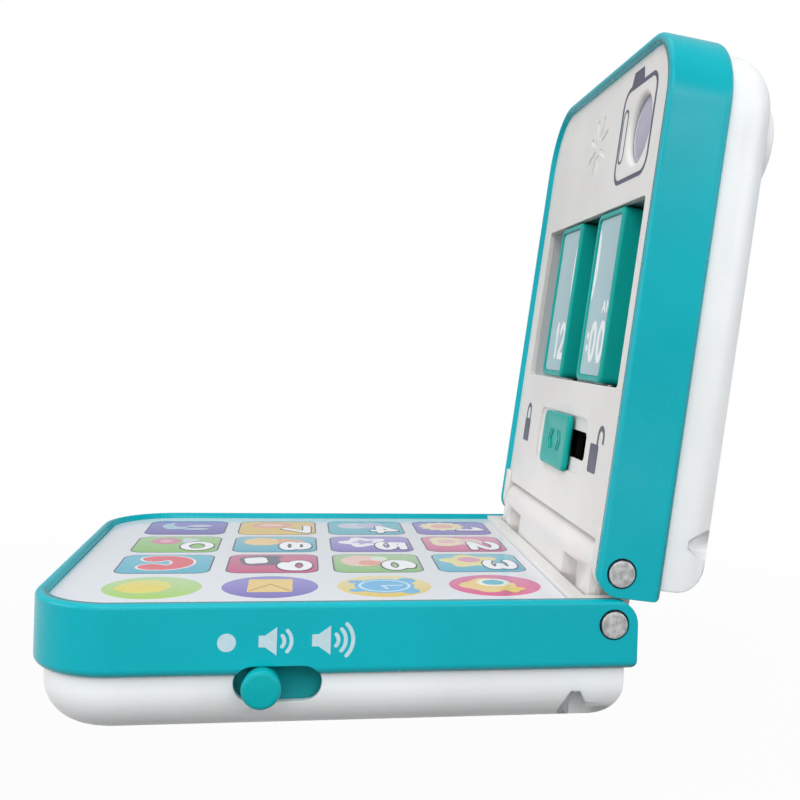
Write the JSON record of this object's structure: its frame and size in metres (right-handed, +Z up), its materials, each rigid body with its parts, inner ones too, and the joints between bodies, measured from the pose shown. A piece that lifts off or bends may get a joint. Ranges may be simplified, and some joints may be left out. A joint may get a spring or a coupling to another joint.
{
  "type": "toy laptop computer",
  "caption": "Teal and white toy laptop computer with a picture keypad, a double-hinged lid, turning blocks, a lock slider and a volume slider.",
  "frame": {"origin": "centre of the base's flat underside, halfway between its free end and its hinge end", "axes": "+X to the right of someone using it, +Y from the free end of the base towards the hinge, +Z up"},
  "size_m": [0.1416, 0.1913, 0.1824],
  "materials": {
    "teal": "satin",
    "deep_teal": "satin",
    "white": "satin",
    "panel": "satin",
    "film": "gloss",
    "rubber": "matte",
    "board": "matte",
    "black": "matte",
    "cell": "satin",
    "steel": "satin",
    "brass": "satin",
    "card": "satin",
    "lens": "gloss"
  },
  "bodies": {
    "base": {"base_rim": "teal", "base_shell": "white", "base_frame": "white", "keypad_film": "film", "key_membrane": "rubber", "key_board": "board", "key_board_screws": "steel", "main_board": "board", "board_parts": "black", "main_board_screws": "steel", "volume_switch": "black", "battery_door": "white", "battery_door_screw": "steel", "batteries": "cell", "battery_springs": "steel", "battery_contacts": "steel", "base_screws": "steel"},
    "volume": {"volume_slider": "deep_teal", "volume_lever": "black"},
    "link": {"hinge_link": "white", "base_pins": "steel", "lid_pins": "steel"},
    "lid": {"lid_rim": "teal", "lid_shell": "white", "lid_panel": "panel", "block_tray": "white", "tray_screws": "steel", "block_axles": "steel", "speaker": "black", "camera_tube": "white", "front_lens": "lens", "rear_lens": "lens", "rear_lens_ring": "white", "lid_board": "board", "lid_board_screws": "steel", "lid_screws": "steel"},
    "lock": {"lock_knob": "deep_teal", "lock_carrier": "white", "lock_wiper": "brass", "lock_screw": "steel"},
    "left_flip": {"left_block": "deep_teal", "left_cards": "card"},
    "right_flip": {"right_block": "deep_teal", "right_cards": "card"}
  },
  "joints": [
    {"name": "link_tilt", "type": "hinge", "parent": "base", "child": "link", "pos_m": [0, 0.0688, 0.0262], "axis": [-1, 0, 0], "range_deg": [-7, 83]},
    {"name": "lid_swing", "type": "hinge", "parent": "link", "child": "lid", "pos_m": [0, 0.07038, 0.0391], "axis": [-1, 0, 0], "range_deg": [-90, 0]},
    {"name": "volume_slide", "type": "slide", "parent": "base", "child": "volume", "axis": [0, 1, 0], "range_m": [0, 0.0075]},
    {"name": "lock_slide", "type": "slide", "parent": "lid", "child": "lock", "axis": [1, 0, 0], "range_m": [-0.014, 0.016]},
    {"name": "left_block_turn", "type": "hinge", "parent": "lid", "child": "left_flip", "pos_m": [-0.0233, 0.08256, 0.1104], "axis": [0, 0.1219, 0.9925], "range_deg": [0, 180]},
    {"name": "right_block_turn", "type": "hinge", "parent": "lid", "child": "right_flip", "pos_m": [0.0233, 0.08256, 0.1104], "axis": [0, 0.1219, 0.9925], "range_deg": [0, 180]}
  ]
}
